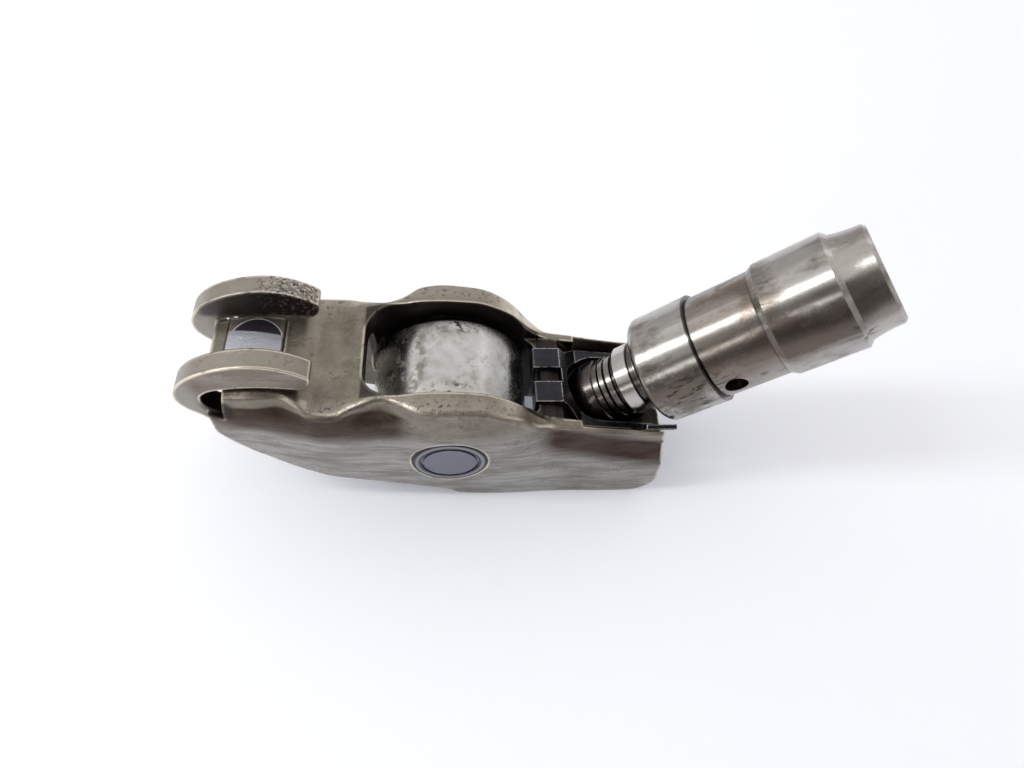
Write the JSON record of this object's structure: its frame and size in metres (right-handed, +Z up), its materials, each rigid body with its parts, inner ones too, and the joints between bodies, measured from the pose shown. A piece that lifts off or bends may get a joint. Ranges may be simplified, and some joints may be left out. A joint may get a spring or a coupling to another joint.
{
  "type": "rocker arm",
  "caption": "Roller finger follower rocker arm with hydraulic lash adjuster held in its ball socket by a spring clip, lying valve side up.",
  "frame": {"origin": "on the table under the middle of the whole part, in its plane of symmetry", "axes": "+X along the arm from the valve end to the adjuster, +Y across it, +Z up from the table"},
  "size_m": [0.0697, 0.0166, 0.0339],
  "materials": {
    "arm_steel": "oiled hardened pressing",
    "roller_steel": "ground",
    "pin_steel": "ground, staked",
    "needle_steel": "lapped",
    "clip_steel": "blackened spring steel",
    "plunger_steel": "ground",
    "housing_steel": "ground and polished",
    "spring_wire": "drawn wire"
  },
  "bodies": {
    "lever": {"lever_body": "arm_steel", "roller_pin": "pin_steel", "retaining_clip": "clip_steel"},
    "roller": {"cam_roller": "roller_steel"},
    "needles": {"bearing_needle_01": "needle_steel", "bearing_needle_02": "needle_steel", "bearing_needle_03": "needle_steel", "bearing_needle_04": "needle_steel", "bearing_needle_05": "needle_steel", "bearing_needle_06": "needle_steel", "bearing_needle_07": "needle_steel", "bearing_needle_08": "needle_steel", "bearing_needle_09": "needle_steel", "bearing_needle_10": "needle_steel", "bearing_needle_11": "needle_steel", "bearing_needle_12": "needle_steel", "bearing_needle_13": "needle_steel", "bearing_needle_14": "needle_steel", "bearing_needle_15": "needle_steel", "bearing_needle_16": "needle_steel", "bearing_needle_17": "needle_steel", "bearing_needle_18": "needle_steel", "bearing_needle_19": "needle_steel"},
    "plunger": {"adjuster_plunger": "plunger_steel"},
    "valve": {"valve_seat_plunger": "plunger_steel", "check_ball_cage": "plunger_steel", "check_ball_spring": "spring_wire", "plunger_return_spring": "spring_wire"},
    "check_ball": {"check_ball": "needle_steel"},
    "housing": {"adjuster_housing": "housing_steel", "plunger_snap_ring": "spring_wire"}
  },
  "joints": [
    {"name": "roller_spin", "type": "hinge", "parent": "lever", "child": "roller", "pos_m": [-0.00888, 0, 0.0085], "axis": [0, 1, 0], "continuous": true},
    {"name": "needle_orbit", "type": "hinge", "parent": "lever", "child": "needles", "pos_m": [-0.00888, 0, 0.0085], "axis": [0, 1, 0], "continuous": true},
    {"name": "adjuster_swing", "type": "hinge", "parent": "lever", "child": "plunger", "pos_m": [0.00832, 0, 0.0093], "axis": [0, -1, 0], "range_deg": [0, 50]},
    {"name": "adjuster_spin", "type": "hinge", "parent": "plunger", "child": "valve", "pos_m": [0.00832, 0, 0.0093], "axis": [0.7396, 0, 0.673], "continuous": true},
    {"name": "adjuster_stroke", "type": "slide", "parent": "valve", "child": "housing", "axis": [-0.7396, 0, -0.673], "range_m": [0, 0.0016], "stiffness_N_per_m": 900, "springref_m": -0.012, "deforming": ["plunger_return_spring"]},
    {"name": "check_ball_lift", "type": "slide", "parent": "valve", "child": "check_ball", "axis": [0.7396, 0, 0.673], "range_m": [0, 0.0003], "stiffness_N_per_m": 80, "springref_m": -0.0005, "deforming": ["check_ball_spring"]}
  ],
  "couplings": [
    {"joint": "needle_orbit", "follows": "roller_spin", "ratio": 0.57906}
  ]
}
